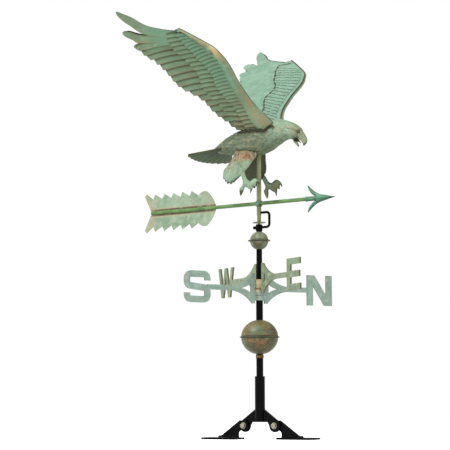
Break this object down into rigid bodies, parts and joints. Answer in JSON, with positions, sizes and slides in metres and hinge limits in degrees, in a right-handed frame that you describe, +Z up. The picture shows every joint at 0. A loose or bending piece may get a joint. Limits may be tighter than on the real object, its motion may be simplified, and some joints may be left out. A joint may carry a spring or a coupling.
{
  "type": "weather vane",
  "caption": "Roof-mounted weather vane: an eagle over an arrow spins on a mast with compass letters, globes and an adjustable bracket.",
  "frame": {"origin": "on the mast axis, level with the underside of the two foot plates", "axes": "+Z up along the mast, +X where the arrow points at rest, +Y to the eagle's left"},
  "size_m": [0.664, 0.6718, 1.1642],
  "materials": {
    "black_steel": "satin black powder coat",
    "zinc": "zinc plated",
    "bright_steel": "plain steel",
    "polished_brass": "polished",
    "globe_copper": "mottled green and brown patina on copper",
    "north_south_verdigris": "pale blue-green verdigris",
    "east_west_verdigris": "olive green verdigris",
    "spindle_patina": "yellow-green patina",
    "bearing_brass": "plain",
    "arrow_shaft_green": "green patina",
    "arrow_teal": "teal verdigris",
    "fin_verdigris": "pale sage verdigris with tan streaks",
    "eagle_body_verdigris": "pale grey-green verdigris",
    "wing_verdigris": "verdigris, dark in the recesses and tan on the edges",
    "tail_verdigris": "dark green verdigris",
    "leg_verdigris": "mint verdigris with a copper patch"
  },
  "bodies": {
    "mast_and_bracket": {"socket_tube": "black_steel", "gusset_plate": "black_steel", "socket_set_screws": "black_steel", "foot_bolts": "zinc", "foot_washers": "zinc", "foot_nuts": "zinc", "lower_mast_tube": "black_steel", "upper_mast_rod": "black_steel", "pivot_pin": "bright_steel", "thrust_ball": "bright_steel", "globe_stop_collar": "polished_brass", "stop_collar_screw": "bright_steel", "large_globe_upper": "globe_copper", "large_globe_lower": "globe_copper", "small_globe_upper": "globe_copper", "small_globe_lower": "globe_copper", "hook_collar": "black_steel", "hook_collar_screw": "black_steel", "hold_down_hook": "black_steel"},
    "left_foot": {"left_roof_foot": "black_steel"},
    "right_foot": {"right_roof_foot": "black_steel"},
    "directionals": {"north_south_casting": "north_south_verdigris", "east_west_casting": "east_west_verdigris", "casting_set_screws": "bright_steel"},
    "vane": {"spindle_tube": "spindle_patina", "spindle_sleeve": "spindle_patina", "keeper_washer": "spindle_patina", "bearing_cup": "bearing_brass", "spindle_block": "bearing_brass", "arrow_collar": "arrow_teal", "arrow_shaft_front": "arrow_shaft_green", "arrow_shaft_rear": "arrow_shaft_green", "arrow_tail_plug": "arrow_shaft_green", "arrow_head": "arrow_teal", "arrow_fin": "fin_verdigris", "fin_rivets": "fin_verdigris", "eagle_body_left": "eagle_body_verdigris", "eagle_body_right": "eagle_body_verdigris", "lower_beak": "eagle_body_verdigris", "eyes": "eagle_body_verdigris", "left_wing": "wing_verdigris", "right_wing": "wing_verdigris", "left_wing_cover": "wing_verdigris", "right_wing_cover": "wing_verdigris", "left_wing_spar": "wing_verdigris", "right_wing_spar": "wing_verdigris", "tail_fan": "tail_verdigris", "left_thigh": "leg_verdigris", "right_thigh": "leg_verdigris", "left_talons": "leg_verdigris", "right_talons": "leg_verdigris"}
  },
  "joints": [
    {"name": "vane_spin", "type": "hinge", "parent": "mast_and_bracket", "child": "vane", "pos_m": [0, 0, 0.6], "axis": [0, 0, 1], "continuous": true},
    {"name": "directionals_turn", "type": "hinge", "parent": "mast_and_bracket", "child": "directionals", "pos_m": [0, 0, 0.41], "axis": [0, 0, 1], "continuous": true},
    {"name": "right_foot_pitch", "type": "hinge", "parent": "mast_and_bracket", "child": "right_foot", "pos_m": [0.05, 0, 0.037], "axis": [0, 1, 0], "range_deg": [-30, 60]},
    {"name": "left_foot_pitch", "type": "hinge", "parent": "mast_and_bracket", "child": "left_foot", "pos_m": [-0.05, 0, 0.037], "axis": [0, -1, 0], "range_deg": [-30, 60]}
  ]
}
